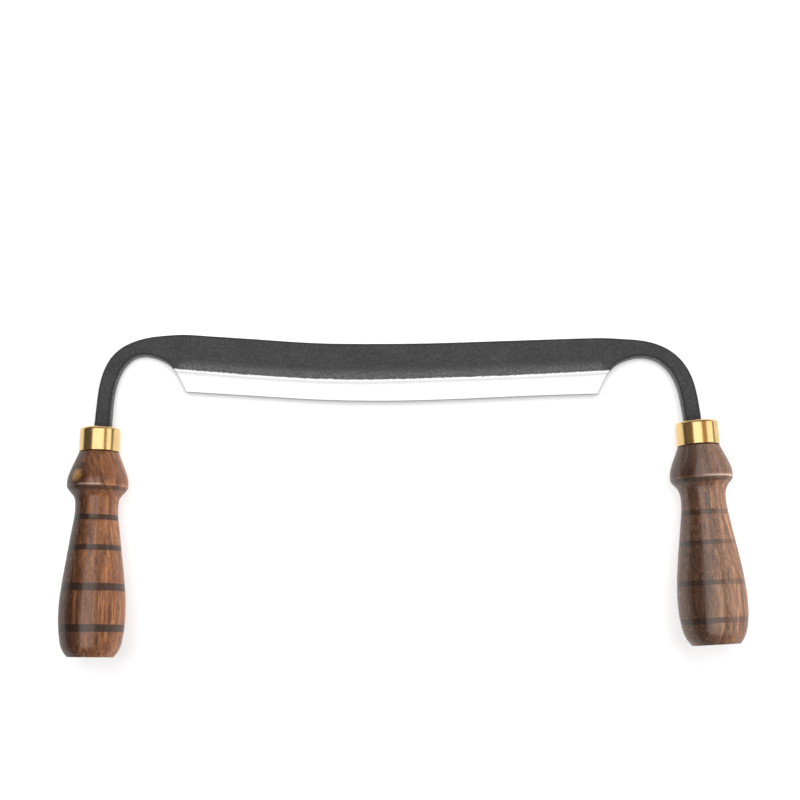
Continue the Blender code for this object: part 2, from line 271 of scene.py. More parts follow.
def handle_matrix(plane, handle):
    """A handle's own frame: +Z along it from the ferrule's mouth, +X inboard, in the knife plane."""
    along, inboard = axis_directions(handle)
    z_axis = Vector((*along, 0))
    x_axis = Vector((*inboard, 0))
    return plane @ frame_at(Vector((*handle["mouth"], 0)) * MM, x_axis, z_axis.cross(x_axis), z_axis)


# ---------------- meshes


def placed(name, data):
    obj = bpy.data.objects.new(name, data)
    bpy.context.scene.collection.objects.link(obj)
    return obj


def store_place(mesh, points, label="place"):
    """Keeps points, in millimetres, as an attribute that the materials read their place from."""
    place = mesh.attributes.new(label, "FLOAT_VECTOR", "POINT")
    place.data.foreach_set("vector", np.asarray(points, np.float32).ravel())


def ring_mesh(name, rings, matrix, closed_ends, sharp=(), crisp_rings=(), attributes=()):
    """Skins rings of points, an array (ring, point, 3), puts them where matrix says and turns the faces
    outwards. Without closed ends the last ring joins the first. sharp holds (ring, point) starts of
    edges, along the rings' order, that stay crisp, and crisp_rings holds rings whose own edges do."""
    rings = np.asarray(rings, float)
    count, around = rings.shape[:2]
    index = np.arange(count * around).reshape(count, around)
    after = index[1:] if closed_ends else np.roll(index, -1, axis=0)
    here = index[:-1] if closed_ends else index
    faces = np.stack([here, np.roll(here, -1, 1), np.roll(after, -1, 1), after], axis=-1)
    faces = faces.reshape(-1, 4).tolist()
    if closed_ends:
        faces += [index[0][::-1].tolist(), index[-1].tolist()]
    local = rings.reshape(-1, 3)
    turn = np.array(matrix)
    points = local * MM @ turn[:3, :3].T + turn[:3, 3]
    mesh = bpy.data.meshes.new(name)
    mesh.from_pydata(points.tolist(), [], faces)
    store_place(mesh, local)
    for label, values in attributes:
        made = mesh.attributes.new(label, "FLOAT", "POINT")
        made.data.foreach_set("value", np.asarray(values, np.float32).ravel())
    mesh.validate()
    mesh.shade_smooth()
    pairs = [(index[i, k], index[i + 1, k]) for i, k in sharp]
    pairs += [(index[i, k], index[i, k - 1]) for i in crisp_rings for k in range(around)]
    if pairs:
        starts = {tuple(sorted(pair)) for pair in pairs}
        crisp = mesh.attributes.new("sharp_edge", "BOOLEAN", "EDGE")
        flags = [tuple(sorted(edge.vertices)) in starts for edge in mesh.edges]
        crisp.data.foreach_set("value", flags)
    if sum(face.center.dot(face.normal) * face.area for face in mesh.polygons) < 0:
        mesh.flip_normals()
    return placed(name, mesh)


def turned_rings(profile, angles):
    """A ring of points about local Z for every (station, radius) of a profile."""
    stations, radii = np.asarray(profile, float).T[:, :, None]
    along = np.repeat(stations, len(angles), 1)
    return np.stack([radii * np.cos(angles), radii * np.sin(angles), along], axis=-1)


def turned(name, profile, segments, matrix):
    """A turned ring from a closed loop of (station, radius) points."""
    angles = np.arange(segments) * 2 * math.pi / segments
    return ring_mesh(name, turned_rings(profile, angles), matrix, closed_ends=False)


# ---------------- blade


def plain_station(outer, inner, half, chamfer):
    width = float(np.linalg.norm(inner - outer))
    return {
        "outer": outer,
        "inner": inner,
        "width": width,
        "half": half,
        "outer_chamfer": chamfer,
        "inner_chamfer": chamfer,
        "bevel_from": width / 2,
        "inner_top": half,
        "inner_mid": 0.0,
        "roundness": 0.0,
        "round_radius": 0.0,
        "edge": 0.0,
    }


def tang_station(handle, s, grow, radius=None):
    """A section of the tang s along the handle. With a radius it is a round one of that size."""
    in_wood = smoothstep(s / TANG_CENTRED_AT)
    shift = handle["shank_shift"] * (1 - in_wood)
    taper = min(max(s / (handle["length"] - TANG_ROUND_FROM), 0), 1)
    half_width = mix(SHANK_WIDTH, TANG_END_WIDTH, taper) / 2 + grow
    half = mix(STOCK, TANG_END_THICKNESS, taper) / 2 + grow
    from_end = handle["length"] - s
    roundness = smoothstep((TANG_ROUND_FROM - from_end) / (TANG_ROUND_FROM - TANG_ROUND_TO))
    if radius is not None:
        roundness, half_width = 1.0, radius
    outer = on_axis(handle, s, shift - half_width)
    inner = on_axis(handle, s, shift + half_width)
    made = plain_station(outer, inner, half, SHANK_CHAMFER)
    made["roundness"] = roundness
    made["round_radius"] = RIVET_RADIUS + grow if radius is None else radius
    return made


def tang_stations_along(handle):
    """Where the tang's sections lie: close together where it turns round towards the rivet."""
    length = handle["length"]
    return [*TANG_STATIONS, *np.arange(length - TANG_ROUND_FROM, length - TANG_ROUND_TO + 0.5, 1.0)]


def tang(handle):
    """Stations from the ferrule's mouth to the domed rivet head."""
    stations = [tang_station(handle, s, 0.0) for s in tang_stations_along(handle)]
    seat = handle["length"] - COUNTERBORE_DEPTH + GAP + WASHER_THICKNESS + GAP
    stations.append(tang_station(handle, seat, 0.0, RIVET_RADIUS))
    for rise, part in RIVET_HEAD:
        stations.append(tang_station(handle, seat + rise, 0.0, RIVET_HEAD_RADIUS * part))
    return stations


def shank_end(handle):
    half = SHANK_WIDTH / 2
    shift = handle["shank_shift"]
    return (*on_axis(handle, 0, shift - half), *on_axis(handle, 0, shift + half))


def bevel_reach(outer, inner, bevel_v):
    """Distance from outer, along the line to inner, at which that line crosses the bevel line."""
    low, high = 0.0, 1.0
    for _ in range(40):
        x = (low + high) / 2
        u, v = mix(outer, inner, x)
        low, high = (x, high) if v > bevel_v(u) else (low, x)
    return low * float(np.linalg.norm(inner - outer))


def forging_stations():
    """Stations from the left mouth to the right mouth, about BLADE_STEP apart."""
    ends = shank_end(HANDLES["left"]), shank_end(HANDLES["right"])
    ribs = np.array([ends[0], *LEFT_BEND, *CUTTING_PART, *RIGHT_BEND, ends[1]])
    outer_points, inner_points = ribs[:, :2], ribs[:, 2:]
    middle = (outer_points + inner_points) / 2
    params = np.concatenate([[0], np.cumsum(np.linalg.norm(np.diff(middle, axis=0), axis=1))])
    first, last = 1 + len(LEFT_BEND), len(LEFT_BEND) + len(CUTTING_PART)
    outer = fair_curve(params, outer_points)
    inner_pieces = (
        fair_curve(params[: first + 1], inner_points[: first + 1]),
        fair_curve(params[first : last + 1], inner_points[first : last + 1]),
        fair_curve(params[last:], inner_points[last:]),
    )
    bevel = fair_curve(*zip(*BEVEL_LINE))
    bevel_first, bevel_last = first - 1, last + 1

    stations = []
    for i in range(len(ribs) - 1):
        piece = inner_pieces[(i >= first) + (i >= last)]
        length = params[i + 1] - params[i]
        steps = max(4, round(length / BLADE_STEP))
        for k in range(steps + (i == len(ribs) - 2)):
            t = params[i] + length * k / steps
            a, b = outer(t), piece(t)
            made = plain_station(a, b, STOCK / 2, SHANK_CHAMFER)
            rib = i + k / steps
            towards = max(bevel_first - rib, rib - bevel_last)
            made["outer_chamfer"] = SPINE_CHAMFER
            made["inner_chamfer"] = SHANK_CHAMFER * smoothstep(towards / 2)
            if towards < 1:
                made["bevel_from"] = mix(made["width"], made["width"] / 2, max(towards, 0))
            if towards <= 0:
                edge = min(rib - bevel_first, bevel_last - rib, 1.0)
                made["edge"] = edge
                made["bevel_from"] = bevel_reach(a, b, bevel) if edge > 0 else made["width"]
                made["inner_top"] = mix(STOCK / 2, EDGE_LAND - STOCK / 2, edge)
                made["inner_mid"] = -STOCK / 2
            stations.append(made)
    return stations


# Corners of a section: the radius that rounds each, and how many points lie between it and the next
SECTION_CORNERS = (
    (0.45, 9),  # outer, top
    (0.06, 7),  # where the bevel starts
    (0.4, 1),  # inner, top
    (0.4, 1),
    (0.0, 1),
    (0.4, 1),
    (0.4, 4),  # inner, low
    (0.0, 4),
    (0.45, 1),  # outer, low
    (0.45, 1),
    (0.0, 1),
    (0.45, 1),
)
CORNER_POINTS = 4
ROUND_CORNER = 1.5  # what rounds a corner where the tang is a round bar
CORNER_SHARE = 0.45  # a corner's curve takes at most this much of the side next to it


def section_corners(station):
    """Twelve corners (outer-to-inner distance, height) round one section of the forging."""
    width, half = station["width"], station["half"]
    outer, inner = station["outer_chamfer"], station["inner_chamfer"]
    top, mid = station["inner_top"], station["inner_mid"]
    flat = [
        (outer, half),
        (station["bevel_from"], half),
        (width - inner, top),
        (width, top - inner),
        (width, mid),
        (width, inner - half),
        (width - inner, -half),
        (width / 2, -half),
        (outer, -half),
        (0, outer - half),
        (0, 0),
        (0, half - outer),
    ]
    turn = [math.radians(120 - 30 * k) for k in range(len(flat))]
    radius = station["round_radius"]
    circle = [(width / 2 + radius * math.cos(a), radius * math.sin(a)) for a in turn]
    x = station["roundness"]
    return np.array([(mix(a, c, x), mix(b, d, x)) for (a, b), (c, d) in zip(flat, circle)])


def rounded_section(station):
    """The section's points: each corner as a short curve, and points between the corners."""
    corners = section_corners(station)
    count = len(corners)

    def cut(corner, towards):
        """Where a corner's curve leaves the side to the other corner."""
        size = mix(SECTION_CORNERS[corner][0], ROUND_CORNER, station["roundness"])
        side = corners[towards] - corners[corner]
        return corners[corner] + side * min(CORNER_SHARE, size / max(np.linalg.norm(side), 1e-6))

    points = []
    for i, (_, between) in enumerate(SECTION_CORNERS):
        after = (i + 1) % count
        starts, ends, far = cut(i, i - 1), cut(i, after), cut(after, i)
        for k in range(CORNER_POINTS):
            x = k / (CORNER_POINTS - 1)
            points.append(starts * (1 - x) ** 2 + corners[i] * 2 * x * (1 - x) + ends * x * x)
        points += [mix(ends, far, (k + 1) / (between + 1)) for k in range(between)]
    return np.array(points)


def bevel_crease():
    """The index, in a rounded section, of the middle of the bevel's starting corner."""
    return CORNER_POINTS + SECTION_CORNERS[0][1] + CORNER_POINTS // 2


def hammered(u, v, height, half):
    """The height of a point on a flat, sunk a little by the forge's unevenness."""
    if abs(height) < 0.55 * half:
        return height
    x, y = u * HAMMER_SCALE, v * HAMMER_SCALE
    dent = noise.noise(Vector((x, y, math.copysign(3.0, height))))
    dent += 0.5 * noise.noise(Vector((x * HAMMER_DETAIL, y * HAMMER_DETAIL, 9.0)))
    return height - math.copysign(HAMMER_DEPTH * min(max(0.5 + 0.6 * dent, 0.0), 1.0), height)


def blade_distances(station, distance, height):
    """A point's attributes. Those that don't apply to it are 0 or FAR."""
    on_blade = station["edge"] > 0
    land = EDGE_LAND - STOCK / 2
    past_line = distance - station["bevel_from"]
    if past_line < 0:
        past_line -= SCALE_RUBBED * (1 - smoothstep(station["edge"] * 1.6))
    bent = not on_blade and height > -0.9 * station["half"]
    from_inner = station["width"] - distance
    return {
        "into_bevel": past_line if on_blade and height > land - AT_LAND else -FAR,
        "from_rim": distance if height > 0 else 0.0,
        "from_inside": from_inner if bent else FAR,
        "from_edge": from_inner if on_blade else FAR,
        "on_back": on_blade and height < land + AT_LAND,
    }


def build_blade(plane):
    """One loft: left rivet head, tang, shank and bend, cutting part, and the same again on the right.
    Its point attributes are distances: into the bevel from its line, in from the spine's arris, in from
    the inside of the bends and shanks, and in from the cutting edge. on_back is 1 on the flat back."""
    left, right = tang(HANDLES["left"]), tang(HANDLES["right"])
    stations = left[:0:-1] + forging_stations() + right[1:]
    rings, distances, sharp = [], [], []
    for i, station in enumerate(stations):
        along = (station["inner"] - station["outer"]) / station["width"]
        ring = []
        for distance, height in rounded_section(station):
            u, v = station["outer"] + along * distance
            above_back = height > -STOCK / 2 + ON_BACK
            ground = station["edge"] > 0 and above_back and distance > station["bevel_from"] - ON_LINE
            if station["roundness"] == 0 and not ground:
                height = hammered(u, v, height, station["half"])
            ring.append((u, v, height))
            distances.append(blade_distances(station, distance, height))
        rings.append(ring)
        if station["edge"] > 0 and i + 1 < len(stations) and stations[i + 1]["edge"] > 0:
            sharp.append((i, bevel_crease()))
    spread = [(label, [point[label] for point in distances]) for label in distances[0]]
    return ring_mesh("blade_forging", rings, plane, closed_ends=True, sharp=sharp, attributes=spread)


# ---------------- ferrule, handle, washer


def build_ferrule(name, handle, matrix):
    """A drawn cap: a tube with a rounded shoulder whose front closes in round the shank."""
    bore = handle["ferrule"] - FERRULE_WALL
    radius = handle["ferrule"] - 0.02
    corner, lip = 0.4, 0.4
    profile = arc(FERRULE_SHOULDER, radius - FERRULE_SHOULDER, FERRULE_SHOULDER, -90, 0, 14)
    wall = np.linspace(FERRULE_SHOULDER + 0.6, FERRULE_LENGTH - corner - 0.4, 18)
    profile += [(s, radius) for s in wall]
    profile += arc(FERRULE_LENGTH - corner, radius - corner, corner, 0, 90, 5)
    profile += arc(FERRULE_LENGTH - 0.2, bore + 0.2, -0.2, -90, 0, 3)
    profile += [(s, bore) for s in np.linspace(FERRULE_LENGTH - 0.5, FERRULE_WALL, 6)]
    profile += [(FERRULE_WALL, FERRULE_HOLE + 0.3), (FERRULE_WALL - 0.1, FERRULE_HOLE + 0.05)]
    profile += arc(lip, FERRULE_HOLE + lip, -lip, 0, 90, 5)
    return turned(name, profile, METAL_SEGMENTS, matrix)


def handle_knots(handle):
    """Knots (station, radius, slope) of the collar, from the ferrule's end to its crisp ridge, and of
    the grip, from the ridge to the rim of the butt."""
    ridge_at, ridge = handle["ridge_at"], handle["ridge"]
    neck_at, neck = handle["neck_at"], handle["neck"]
    belly_at, belly = handle["belly_at"], handle["belly"]
    length = handle["length"]
    collar = (
        (FERRULE_LENGTH + GAP, handle["seat"], 0.39),
        (ridge_at - 8.0, ridge - 1.0, 0.34),
        (ridge_at - 3.6, ridge - 0.05, 0.07),
        (ridge_at, ridge, 0.0),
    )
    grip = (
        (ridge_at, ridge, -0.42),
        (ridge_at + 3.7, ridge - 2.6, -0.95),
        (neck_at - 6.5, neck + 0.65, -0.33),
        (neck_at, neck, 0.0),
        (neck_at + 9.0, neck + 0.9, 0.145),
        (belly_at - 21.0, belly - 1.7, 0.13),
        (belly_at, belly, 0.0),
        (length - 13.0, belly - 0.95, -0.18),
        (length - 4.6, handle["butt"] + 3.5, -0.52),
        (length - 0.8, handle["butt"] + 0.9, -0.95),
    )
    return collar, grip


def burn_at(handle, station):
    """How burnt the surface is at a station, from 0 to 1."""
    burnt = 0.0
    for centre, width in handle["rings"]:
        inside = (width / 2 + RING_SHOULDER / 2 - abs(station - centre)) / RING_SHOULDER
        burnt = max(burnt, smoothstep(inside))
    return burnt


def arris_at(handle, station):
    """1 where the ridge's arris gets a painted highlight, and -1 where painted shade lies in the hollow
    under it.
    """
    past = station - handle["ridge_at"]
    if past <= 0.01:
        return smoothstep(1 + past / ARRIS_HIGHLIGHT_SPAN)
    return -smoothstep(1.6 - past / ARRIS_SHADE_SPAN)


def slot_outline(station, angles, handle):
    """The bore's outline at one of the tang's stations, as a distance from the axis for every angle."""
    corners = section_corners(station)
    across = (station["inner"] - station["outer"]) / station["width"]
    along, inboard = axis_directions(handle)
    centre = station["outer"] + across * station["width"] / 2 - np.array(handle["mouth"])
    half_width, half = station["width"] / 2, corners[0][1]
    cosines, sines = np.abs(np.cos(angles)), np.abs(np.sin(angles))
    chamfer = station["outer_chamfer"]
    reach = np.minimum(half_width / np.maximum(cosines, 1e-9), half / np.maximum(sines, 1e-9))
    reach = np.minimum(reach, (half_width + half - chamfer) / (cosines + sines))
    reach = mix(reach, station["round_radius"], station["roundness"])
    x, y = centre @ inboard + reach * np.cos(angles), reach * np.sin(angles)
    return np.stack([x, y, np.full(len(angles), centre @ along)], axis=-1)


def grain_of(rings, handle, look):
    """Where each point lies in the wood's straight grain: the grain slants across the collar, and flows
    round the knots."""
    points = np.asarray(rings, float).reshape(-1, 3)
    grain = points.copy()
    grain[:, 0] -= look["slant"] * np.minimum(points[:, 2] - handle["ridge_at"], 0.0)
    for centre, radius in look["knots"]:
        away = points - np.array(centre)
        near = np.exp(-((np.linalg.norm(away * (1, 1, 0.55), axis=1) / (2.4 * radius)) ** 2))
        grain[:, 0] -= 0.85 * near * away[:, 0]
    return grain


def handle_profile(handle):
    """Points (station, radius) of a handle's outside and counterbore, and the index of the ridge."""
    length, butt = handle["length"], handle["butt"]
    peg = handle["ferrule"] - FERRULE_WALL - GAP
    front = FERRULE_WALL + GAP
    outer = [(front, peg - 0.6), (front + 0.2, peg - 0.2), (front + 0.6, peg)]
    outer += [(FERRULE_LENGTH - 0.6, peg), (FERRULE_LENGTH + GAP, peg)]
    collar, grip = (hermite(knots, PROFILE_STEP) for knots in handle_knots(handle))
    ridge = len(outer) + len(collar) - 1
    for station, radius in collar[:-1] + grip:
        outer.append((station, radius - FACET_ALLOWANCE - RING_DEPTH * burn_at(handle, station)))
    outer += arc(length - 0.5, butt + 0.1, 0.45, 35, 90, 4)
    outer += [(length - 0.05, butt - 2.0), (length - 0.05, COUNTERBORE_RADIUS + 0.35)]
    outer.append((length - 0.15, COUNTERBORE_RADIUS + 0.1))
    wall = np.linspace(length - 0.4, length - COUNTERBORE_DEPTH + 0.2, 5)
    outer += [(s, COUNTERBORE_RADIUS) for s in wall]
    outer.append((length - COUNTERBORE_DEPTH, COUNTERBORE_RADIUS - 0.2))
    return outer, ridge


def build_handle(name, handle, matrix, look):
    """A turned handle: a peg inside the ferrule, a collar, a neck and a belly with burnt rings, bored
    for the tang, with a counterbore in the butt. Its point attributes run from 0 to 1: burn for the
    rings, one for the painted shade where the grip comes out of its ferrule, and arris for the painted
    highlight on the ridge, which runs to -1 for the painted shade in the hollow below the ridge."""
    outer, ridge = handle_profile(handle)
    angles = np.arange(HANDLE_SEGMENTS) * 2 * math.pi / HANDLE_SEGMENTS
    rings = list(turned_rings(outer, angles))
    front, peg = FERRULE_WALL + GAP, handle["ferrule"] - FERRULE_WALL - GAP
    burn = [burn_at(handle, s) if r > peg + 0.5 else 0.0 for s, r in outer]
    # painted shade on the first stretch of wood out of the ferrule
    gap_shade = [1.0 if s < FERRULE_LENGTH + GAP_SHADE_WIDTH else 0.0 for s, _ in outer]
    # the ridge's painted highlight, and painted shade under it
    arris = [arris_at(handle, s) for s, _ in outer]
    floor = handle["length"] - COUNTERBORE_DEPTH
    bore = [tang_station(handle, front, GAP)]
    bore += [tang_station(handle, s, GAP) for s in tang_stations_along(handle) if s > front]
    bore.append(tang_station(handle, floor, GAP, RIVET_RADIUS + GAP))
    rings += [slot_outline(station, angles, handle) for station in bore[::-1]]
    spread = []
    for label, values, inside in (("burn", burn, 0.0), ("gap_shade", gap_shade, 1.0), ("arris", arris, 0.0)):
        spread.append((label, np.repeat(values + [inside] * len(bore), HANDLE_SEGMENTS)))
    made = ring_mesh(name, rings, matrix, closed_ends=False, crisp_rings=(ridge,), attributes=spread)
    store_place(made.data, grain_of(rings, handle, look), "grain")
    return made


def build_washer(name, handle, matrix):
    edge = 0.3
    inner, outer = RIVET_RADIUS + GAP, WASHER_RADIUS
    near = handle["length"] - COUNTERBORE_DEPTH + GAP
    far = near + WASHER_THICKNESS
    profile = [(near, inner + 0.1), (near, outer - edge)]
    profile += arc(near + edge, outer - edge, edge, -60, 0, 3)
    profile += arc(far - edge, outer - edge, edge, 0, 90, 4)
    profile += [(far, outer - 1.0), (far, inner + 0.2), (far - 0.2, inner), (near + 0.1, inner)]
    return turned(name, profile, METAL_SEGMENTS // 2, matrix)


# ---------------- materials


class Nodes:
    """The node tree of a new material or world, with one short call for each kind of node."""

    def __init__(self, owner, shader="Principled BSDF"):
        owner.use_nodes = True
        self.owner = owner
        self.tree = owner.node_tree
        self.shader = self.tree.nodes[shader]

    def put(self, value, socket):
        """Sets a socket, or links it if value is another node's output."""
        if isinstance(value, bpy.types.NodeSocket):
            self.tree.links.new(value, socket)
        else:
            socket.default_value = value

    def set(self, **values):
        for name, value in values.items():
            self.put(value, self.shader.inputs[name.replace("_", " ")])

    def node(self, kind, inputs, **settings):
        """A new node's outputs, once its settings are made and its inputs set or linked."""
        node = self.tree.nodes.new(kind)
        for name, value in settings.items():
            setattr(node, name, value)
        for socket, value in inputs.items():
            self.put(value, node.inputs[socket])
        return node.outputs

    def place(self, scale=(1, 1, 1), shift=(0, 0, 0), of="place"):
        """The piece's own coordinates, or its grain's, times scale, after a shift in millimetres."""
        location = [d * s for d, s in zip(shift, scale)]
        inputs = {"Vector": self.attribute(of, "Vector"), "Scale": scale, "Location": location}
        return self.node("ShaderNodeMapping", inputs)["Vector"]

    def attribute(self, name, output="Fac"):
        return self.node("ShaderNodeAttribute", {}, attribute_name=name)[output]

    def noise(self, vector, scale=1.0, detail=2.0, roughness=0.5):
        inputs = {"Vector": vector, "Scale": scale, "Detail": detail, "Roughness": roughness}
        return self.node("ShaderNodeTexNoise", inputs)["Fac"]

    def line_noise(self, value, detail, roughness):
        """Noise along one number."""
        inputs = {"W": value, "Scale": 1.0, "Detail": detail, "Roughness": roughness}
        return self.node("ShaderNodeTexNoise", inputs, noise_dimensions="1D")["Fac"]

    def math(self, operation, a, b=0.0):
        return self.node("ShaderNodeMath", {0: a, 1: b}, operation=operation)["Value"]

    def plus(self, a, b):
        return self.math("ADD", a, b)

    def minus(self, a, b):
        return self.math("SUBTRACT", a, b)

    def times(self, a, b):
        return self.math("MULTIPLY", a, b)

    def distance(self, a, b=(0, 0, 0)):
        return self.node("ShaderNodeVectorMath", {0: a, 1: b}, operation="DISTANCE")["Value"]

    def range(self, value, low, high, to_low=0.0, to_high=1.0, smooth=True):
        """value carried from low..high to to_low..to_high, and held there outside it."""
        ends = {"From Min": low, "From Max": high, "To Min": to_low, "To Max": to_high}
        shape = "SMOOTHSTEP" if smooth else "LINEAR"
        inputs = {**ends, "Value": value}
        return self.node("ShaderNodeMapRange", inputs, interpolation_type=shape)["Result"]

    def mix(self, share, a, b):
        """Two colours mixed; a and b are triples or colour outputs."""
        node = self.tree.nodes.new("ShaderNodeMix")
        node.data_type = "RGBA"
        self.put(share, node.inputs["Factor"])
        sockets = {s.identifier: s for s in (*node.inputs, *node.outputs)}
        for value, name in ((a, "A_Color"), (b, "B_Color")):
            self.put((*value, 1.0) if isinstance(value, tuple) else value, sockets[name])
        return sockets["Result_Color"]

    def over(self, base, *layers):
        """base with layers (colour, value, low, high, share) over it, one by one. A layer isn't there
        where its value is low, and has that share where it is high."""
        for colour, value, low, high, share in layers:
            base = self.mix(self.range(value, low, high, 0.0, share), base, colour)
        return base

    def bump(self, height, depth):
        inputs = {"Strength": 1.0, "Distance": depth * MM, "Height": height}
        return self.node("ShaderNodeBump", inputs)["Normal"]


def new_look(name):
    return Nodes(bpy.data.materials.new(name))


def grey(value, blue=0.0):
    return (value, value, value + blue)


def scale_grey(value):
    """Forge scale is a very slightly blue grey."""
    return grey(value, 0.001)


def steel_of_blade():
    """Black forge scale, and bright ground steel past the bevel line and along the edge of the back."""
    n = new_look("forged_and_ground_steel")
    flat = n.place()
    ragged = n.noise(flat, 1.1, detail=4, roughness=0.6)
    ragged = n.range(ragged, 0.25, 0.75, -0.55, 0.55, smooth=False)
    into_bevel = n.plus(n.attribute("into_bevel"), ragged)
    from_edge = n.plus(n.attribute("from_edge"), n.times(ragged, 1.5))
    on_bevel = n.range(into_bevel, BEVEL_SHOWS_AT - 0.12, BEVEL_SHOWS_AT + 0.12)
    lapped = n.range(from_edge, BACK_LAPPED + 0.2, BACK_LAPPED - 0.2)
    on_back = n.times(lapped, n.range(n.attribute("on_back"), 0.4, 0.6))
    ground = n.math("MAXIMUM", on_bevel, on_back)

    # Scale: granular, with faint clouds
    clouds = n.noise(flat, 0.055, detail=3, roughness=0.6)
    speckle = n.noise(flat, 1.3, detail=5, roughness=0.75)
    grains = n.noise(flat, 0.62, detail=3, roughness=0.7)
    scale = n.over(
        n.mix(n.range(clouds, 0.3, 0.7), scale_grey(0.050), scale_grey(0.070)),
        (scale_grey(0.130), grains, 0.50, 0.68, 0.55),
        (scale_grey(0.020), grains, 0.48, 0.32, 0.60),
        (scale_grey(0.140), speckle, 0.52, 0.72, 0.60),
        (scale_grey(0.014), speckle, 0.47, 0.30, 0.65),
    )
    # It is rubbed grey, with bright flecks, towards the bevel
    near_bevel = n.range(n.attribute("into_bevel"), -SCALE_RUBBED, -0.3)
    scale = n.mix(n.times(near_bevel, 0.42), scale, scale_grey(0.125))
    flecks = n.times(near_bevel, n.range(n.noise(flat, 1.6, 4, 0.8), 0.47, 0.58))
    scale = n.mix(n.times(flecks, 0.8), scale, grey(0.40))
    # Painted shade along the spine's arris; inside the bends, a dark line of painted shade beside a
    # painted highlight on the inner arris
    scale = n.over(scale, (scale_grey(0.006), n.attribute("from_rim"), 1.5, 0.5, 0.9))
    inside = n.attribute("from_inside")
    # painted shade: a dark band beside the inner arris
    painted_band_shade = n.times(n.range(inside, 2.6, 1.8), n.range(inside, 0.9, 1.5))
    scale = n.mix(n.times(painted_band_shade, 0.8), scale, scale_grey(0.010))
    # painted highlight: a lighter line along the inner arris, broken by the grain
    painted_highlight = n.times(n.range(inside, 1.2, 0.8), n.range(grains, 0.35, 0.60, 0.35, 1.0))
    scale = n.mix(n.times(painted_highlight, 0.8), scale, grey(0.24))

    # Ground steel: grinding lines square to the edge, a painted darker band below the line that stands
    # in for the dim part of the mirrored softbox, and a dark line of painted shade along the edge
    lines = n.noise(n.place((4.0, 0.08, 0.4)), 1.0, detail=3, roughness=0.7)
    steel = n.mix(n.range(lines, 0.3, 0.7), grey(0.74), grey(0.86))
    # painted reflection: a darker band below the bevel line
    painted_reflection_band = n.times(n.range(into_bevel, 1.2, 2.2), n.range(into_bevel, 4.2, 2.4))
    steel = n.mix(n.times(painted_reflection_band, 0.6), steel, grey(0.48))
    # painted shade: a dark line along the ground edges
    steel = n.over(steel, (grey(0.12), n.attribute("from_edge"), EDGE_SHADE_LINE, EDGE_SHADE_LINE * 0.6, 0.85))

    scale_rough = n.range(speckle, 0.3, 0.7, 0.42, 0.58)
    steel_rough = n.range(lines, 0.3, 0.7, 0.20, 0.30)
    roughness = n.plus(n.times(ground, n.minus(steel_rough, scale_rough)), scale_rough)
    n.set(Base_Color=n.mix(ground, scale, steel), Metallic=ground, Roughness=roughness)
    pitting = n.noise(flat, 1.6, detail=4, roughness=0.7)
    relief = n.times(n.minus(1.0, ground), pitting)
    grooves = n.times(ground, n.times(lines, 0.10))
    n.set(Normal=n.bump(n.plus(relief, grooves), 0.10))
    return n.owner


def polished_brass():
    n = new_look("polished_brass")
    tarnish = n.noise(n.place(), 0.10, detail=3, roughness=0.6)
    turning = n.noise(n.place((0.05, 0.05, 6.0)), 1.0, detail=3, roughness=0.7)
    n.set(Base_Color=n.mix(n.range(tarnish, 0.3, 0.7), *BRASS), Metallic=1.0)
    n.set(Roughness=n.range(turning, 0.3, 0.7, 0.17, 0.20), Normal=n.bump(turning, 0.010))
    return n.owner


def washer_steel():
    n = new_look("washer_steel")
    turning = n.noise(n.place((0.6, 0.6, 3.0)), 1.0, detail=3, roughness=0.7)
    n.set(Base_Color=n.mix(n.range(turning, 0.3, 0.7), *WASHER_STEEL), Metallic=1.0)
    n.set(Roughness=n.range(turning, 0.3, 0.7, 0.28, 0.42), Normal=n.bump(turning, 0.03))
    return n.owner


BRASS = ((0.68, 0.468, 0.205), (0.74, 0.518, 0.240))
WASHER_STEEL = ((0.36, 0.35, 0.34), (0.52, 0.51, 0.49))
PORE_AND_SHADE = (0.030, 0.012, 0.006)  # the colour of open pores, and of the painted shade in the hollow under the ridge
KNOT_HALO = (0.110, 0.034, 0.010)
KNOT_HEART = (1.0, 0.50, 0.14)
CHAR = ((0.024, 0.012, 0.007), (0.060, 0.030, 0.017))
# painted shade where a grip comes out of its ferrule
GAP_SHADE = (0.010, 0.006, 0.004)
# painted highlight on the ridge's arris
RIDGE_HIGHLIGHT = (0.78, 0.56, 0.43)
FLOOR = (grey(0.57), grey(0.59))
COLLAR_PAINTED_SHADE = (37.0, 33.0)  # stations between which the collar gets darker with painted shade
# Beside the wood's own colours, each look holds painted light: a zone across the grip and the collar
# darkened with painted shade, the burnt rings paled by a painted sheen on the lit side, and the span
# across the ridge that gets the painted highlight.
WOODS = {
    "left": {
        "pith": (150.0, 110.0),
        "shift": (0, 0, 0),
        "wander": 26.0,
        "light": (0.46, 0.170, 0.062),
        "middle": (0.32, 0.108, 0.037),
        "dark": (0.078, 0.026, 0.010),
        "amber": (0.72, 0.290, 0.100),
        "shade": ((-9.5, -1.0), 0.84),
        "slant": 0.42,
        "arris": (-1.5, 8.5),
        "rings_paled_by_light": (-30.0, 1.0),
        "collar": 0.24,
        "knots": (((-10.0, 15.0, 31.0), 3.6),),
        "char": 0.90,
        "coat": 0.34,
    },
    "right": {
        "pith": (-170.0, 90.0),
        "shift": (310.0, 120.0, 70.0),
        "wander": 20.0,
        "light": (0.44, 0.200, 0.098),
        "middle": (0.30, 0.130, 0.062),
        "dark": (0.070, 0.026, 0.011),
        "amber": (0.80, 0.400, 0.200),
        "shade": ((7.0, 3.0), 0.70),
        "slant": 0.10,
        "arris": (-9.5, 13.0),
        "rings_paled_by_light": (-3.0, 0.58),
        "collar": 0.52,
        "knots": (),
        "char": 0.74,
        "coat": 0.40,
    },
}


